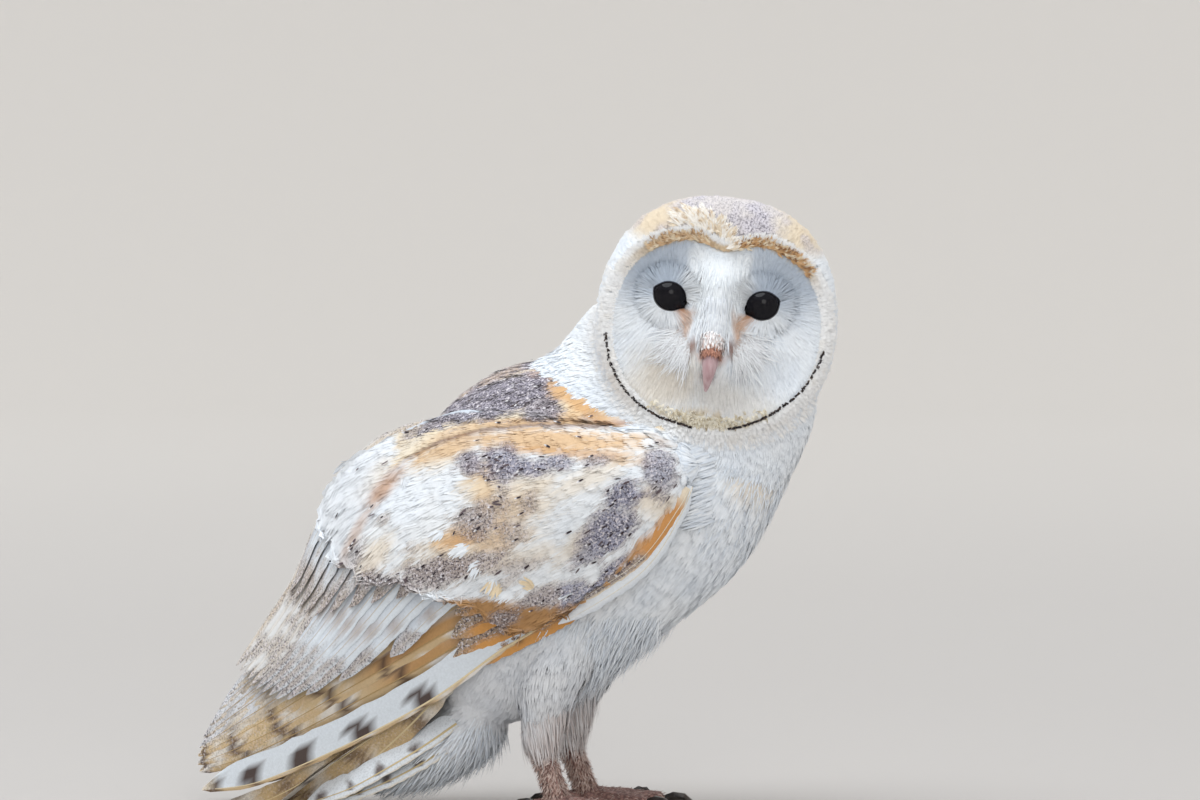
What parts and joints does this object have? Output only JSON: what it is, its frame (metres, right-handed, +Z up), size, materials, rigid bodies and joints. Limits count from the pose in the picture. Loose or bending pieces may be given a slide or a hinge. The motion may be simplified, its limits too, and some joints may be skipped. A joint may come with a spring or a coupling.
{
  "type": "barn owl",
  "caption": "Life-size still model of a standing barn owl with folded wings, head turned over its right side, feet flat and tail tip resting on the floor.",
  "frame": {"origin": "on the floor, under the middle of the whole box", "axes": "+X forwards along the body towards the breast, +Y to the bird's left, +Z up"},
  "size_m": [0.295, 0.1122, 0.2721],
  "materials": {
    "white_plumage": "soft matte white body feathers, buff and grey on the crown and mantle",
    "wing_coverts": "soft matte feathers, golden buff with grey speckled patches and white streaks",
    "flight_feathers": "smooth matte feather vanes, white and tan with dark bars",
    "eye": "wet gloss, near black",
    "bill": "smooth horn, pale pink, satin",
    "leg_skin": "rough scaly pink-brown skin with sparse bristle feathers",
    "claw": "dark horn, satin"
  },
  "bodies": {
    "root": {"eye_right": "eye", "eye_left": "eye", "bill_upper": "bill", "bill_lower": "bill", "head": "white_plumage", "neck": "white_plumage", "wing_right_coverts": "wing_coverts", "wing_left_coverts": "wing_coverts", "wing_right_secondaries": "flight_feathers", "wing_left_secondaries": "flight_feathers", "wing_right_primaries": "flight_feathers", "wing_left_primaries": "flight_feathers", "wing_right_alula": "wing_coverts", "wing_left_alula": "wing_coverts", "tail": "flight_feathers", "undertail_coverts": "white_plumage", "thigh_right": "white_plumage", "tarsus_right": "leg_skin", "claw_right_1": "claw", "claw_right_2": "claw", "claw_right_3": "claw", "claw_right_4": "claw", "foot_right": "leg_skin", "thigh_left": "white_plumage", "tarsus_left": "leg_skin", "claw_left_1": "claw", "claw_left_2": "claw", "claw_left_3": "claw", "claw_left_4": "claw", "foot_left": "leg_skin", "trunk": "white_plumage"}
  },
  "joints": []
}
